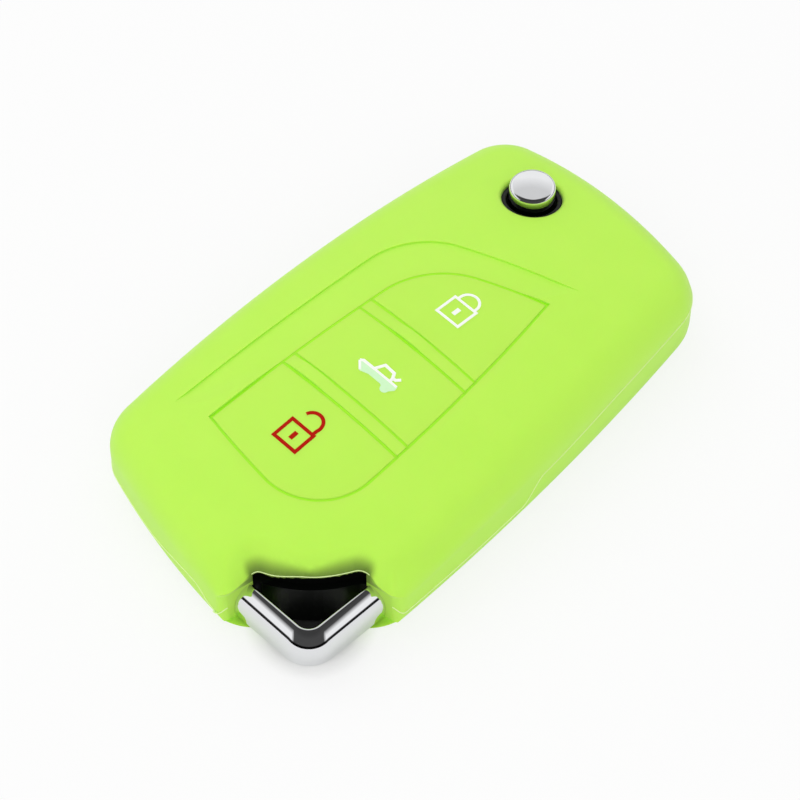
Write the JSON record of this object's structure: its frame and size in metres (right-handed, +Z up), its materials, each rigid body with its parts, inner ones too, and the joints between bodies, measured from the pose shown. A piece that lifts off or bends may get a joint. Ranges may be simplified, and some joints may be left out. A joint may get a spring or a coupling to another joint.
{
  "type": "key fob cover",
  "caption": "Moulded silicone cover on a folding remote key: crowned sleeve with button pads, a release button hole and an open corner for the key ring bail.",
  "frame": {"origin": "middle of the flat back, on the surface it lies on", "axes": "+X across to the key ring side, +Y along to the release button, +Z up out of the button face"},
  "size_m": [0.0467, 0.0814, 0.0169],
  "materials": {
    "green_silicone": "satin moulded silicone rubber",
    "black_abs": "polished black moulding",
    "chrome_plate": "bright chrome plate",
    "zinc_screw": "zinc plated",
    "black_acetal": "matt moulding",
    "spring_steel": "bright drawn",
    "blade_steel": "nickel plated, milled track",
    "glass_filled_epoxy": "matt block",
    "board_laminate": "green solder mask",
    "chip_epoxy": "moulded epoxy",
    "tinned_can": "tinned sheet",
    "cell_steel": "nickel plated can",
    "key_rubber": "matt black rubber"
  },
  "bodies": {
    "fob": {"silicone_cover": "green_silicone", "upper_housing": "black_abs", "lower_housing": "black_abs", "key_ring_bail": "chrome_plate", "housing_screws": "zinc_screw", "release_spring": "spring_steel", "transponder_chip": "glass_filled_epoxy", "circuit_board": "board_laminate", "remote_chip": "chip_epoxy", "oscillator": "tinned_can", "antenna_coil": "chip_epoxy", "coin_cell": "cell_steel", "cell_positive_clip": "spring_steel", "cell_negative_contact": "spring_steel", "lock_switch": "tinned_can", "trunk_switch": "tinned_can", "unlock_switch": "tinned_can"},
    "blade": {"blade_rotor": "black_acetal", "key_blade": "blade_steel", "blade_pin": "spring_steel"},
    "release": {"release_cap": "chrome_plate", "release_stem": "black_acetal"},
    "lock_button": {"lock_pad": "green_silicone", "lock_key": "key_rubber"},
    "lock_contact": {"lock_plunger": "black_acetal"},
    "trunk_button": {"trunk_pad": "green_silicone", "trunk_key": "key_rubber"},
    "trunk_contact": {"trunk_plunger": "black_acetal"},
    "unlock_button": {"unlock_pad": "green_silicone", "unlock_key": "key_rubber"},
    "unlock_contact": {"unlock_plunger": "black_acetal"}
  },
  "joints": [
    {"name": "blade_flip", "type": "hinge", "parent": "fob", "child": "blade", "pos_m": [-0.008, 0.0306, 0.007], "axis": [0, 0, -1], "range_deg": [0, 180]},
    {"name": "release_press", "type": "slide", "parent": "fob", "child": "release", "axis": [0, 0, -1], "range_m": [0, 0.002], "stiffness_N_per_m": 1000, "deforming": ["release_spring"]},
    {"name": "lock_press", "type": "slide", "parent": "fob", "child": "lock_button", "axis": [0, 0, -1], "range_m": [0, 0.0006], "stiffness_N_per_m": 1500},
    {"name": "lock_click", "type": "slide", "parent": "fob", "child": "lock_contact", "axis": [0, 0, -1], "range_m": [0, 0.00025]},
    {"name": "trunk_press", "type": "slide", "parent": "fob", "child": "trunk_button", "axis": [0, 0, -1], "range_m": [0, 0.0006], "stiffness_N_per_m": 1500},
    {"name": "trunk_click", "type": "slide", "parent": "fob", "child": "trunk_contact", "axis": [0, 0, -1], "range_m": [0, 0.00025]},
    {"name": "unlock_press", "type": "slide", "parent": "fob", "child": "unlock_button", "axis": [0, 0, -1], "range_m": [0, 0.0006], "stiffness_N_per_m": 1500},
    {"name": "unlock_click", "type": "slide", "parent": "fob", "child": "unlock_contact", "axis": [0, 0, -1], "range_m": [0, 0.00025]}
  ],
  "couplings": [
    {"joint": "lock_click", "follows": "lock_press", "ratio": 0.4166},
    {"joint": "trunk_click", "follows": "trunk_press", "ratio": 0.4166},
    {"joint": "unlock_click", "follows": "unlock_press", "ratio": 0.4166}
  ]
}
